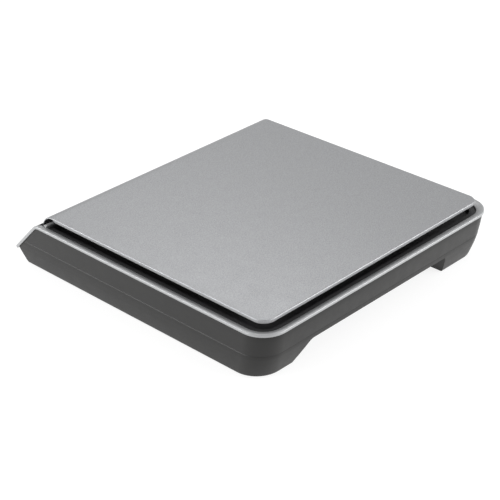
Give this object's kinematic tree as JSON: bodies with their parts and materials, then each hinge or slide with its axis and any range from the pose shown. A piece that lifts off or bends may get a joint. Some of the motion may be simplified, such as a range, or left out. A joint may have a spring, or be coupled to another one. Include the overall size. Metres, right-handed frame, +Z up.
{
  "type": "platform shipping scale",
  "caption": "Low counter scale: a flat sheet-steel platter over a silver rim, a sloping front panel with display and keys, and a dark plastic base with a rear cable recess.",
  "frame": {"origin": "on the surface the scale stands on, under the middle of its footprint", "axes": "+Z up, -Y towards the front with the display, +X to the right seen from the front"},
  "size_m": [0.3426, 0.358, 0.0635],
  "materials": {
    "platter_steel": "satin stainless sheet, finely textured",
    "silver_bezel": "satin silver",
    "charcoal_base": "fine matt moulded texture",
    "black_deck": "matt",
    "cast_aluminium": "as cast",
    "cell_aluminium": "machined",
    "zinc_steel": "zinc plated",
    "rubber": "matt",
    "window": "clear, polished",
    "lcd": "grey-green",
    "circuit_board": "solder mask",
    "key_plastic": "fine matt",
    "socket_black": "moulded",
    "socket_metal": "tinned",
    "cell_wrap": "plain sleeve",
    "ribbon": "flat cable"
  },
  "bodies": {
    "base": {"top_bezel_front": "silver_bezel", "top_bezel_left": "silver_bezel", "top_bezel_right": "silver_bezel", "top_bezel_rear": "silver_bezel", "lower_housing": "charcoal_base", "deck_cover": "black_deck", "load_cell": "cell_aluminium", "cell_base_spacer": "zinc_steel", "cell_base_bolt_1": "zinc_steel", "cell_base_bolt_2": "zinc_steel", "overload_stop_1": "zinc_steel", "overload_stop_2": "zinc_steel", "overload_stop_3": "zinc_steel", "overload_stop_4": "zinc_steel", "board_screw_1": "zinc_steel", "board_screw_2": "zinc_steel", "board_screw_3": "zinc_steel", "housing_screw_1": "zinc_steel", "housing_screw_2": "zinc_steel", "housing_screw_3": "zinc_steel", "housing_screw_4": "zinc_steel", "housing_screw_5": "zinc_steel", "housing_screw_6": "zinc_steel", "battery_contact_front": "zinc_steel", "battery_contact_rear": "zinc_steel", "foot_front_left": "rubber", "foot_front_right": "rubber", "foot_rear_left": "rubber", "foot_rear_right": "rubber", "keypad_membrane": "rubber", "load_cell_lead": "rubber", "battery_lead": "rubber", "display_window": "window", "lcd_module": "lcd", "display_board": "circuit_board", "main_board": "circuit_board", "power_jack": "socket_black", "usb_port": "socket_metal", "battery_cell_1": "cell_wrap", "battery_cell_2": "cell_wrap", "battery_cell_3": "cell_wrap", "ribbon_cable": "ribbon"},
    "weigh_frame": {"platter_support": "cast_aluminium", "support_pad_1": "rubber", "support_pad_2": "rubber", "support_pad_3": "rubber", "support_pad_4": "rubber", "cell_top_spacer": "zinc_steel", "cell_top_bolt_1": "zinc_steel", "cell_top_bolt_2": "zinc_steel"},
    "platter": {"platter": "platter_steel"},
    "battery_door": {"battery_door": "charcoal_base"},
    "power_key": {"power_key": "key_plastic"},
    "tare_key": {"tare_key": "key_plastic"},
    "unit_key": {"unit_key": "key_plastic"},
    "hold_key": {"hold_key": "key_plastic"}
  },
  "joints": [
    {"name": "weigh_travel", "type": "slide", "parent": "base", "child": "weigh_frame", "axis": [0, 0, 1], "range_m": [-0.0004, 0], "stiffness_N_per_m": 50000, "springref_m": 0.0005},
    {"name": "platter_lift", "type": "slide", "parent": "weigh_frame", "child": "platter", "axis": [0, 0, 1], "range_m": [0, 0.08]},
    {"name": "power_key_press", "type": "slide", "parent": "base", "child": "power_key", "axis": [0, 0.7134, -0.7008], "range_m": [0, 0.001], "stiffness_N_per_m": 800, "springref_m": -0.0006},
    {"name": "tare_key_press", "type": "slide", "parent": "base", "child": "tare_key", "axis": [0, 0.7134, -0.7008], "range_m": [0, 0.001], "stiffness_N_per_m": 800, "springref_m": -0.0006},
    {"name": "unit_key_press", "type": "slide", "parent": "base", "child": "unit_key", "axis": [0, 0.7134, -0.7008], "range_m": [0, 0.001], "stiffness_N_per_m": 800, "springref_m": -0.0006},
    {"name": "hold_key_press", "type": "slide", "parent": "base", "child": "hold_key", "axis": [0, 0.7134, -0.7008], "range_m": [0, 0.001], "stiffness_N_per_m": 800, "springref_m": -0.0006},
    {"name": "battery_door_hinge", "type": "hinge", "parent": "base", "child": "battery_door", "pos_m": [-0.0805, -0.0645, 0.00265], "axis": [-1, 0, 0], "range_deg": [0, 80]}
  ]
}
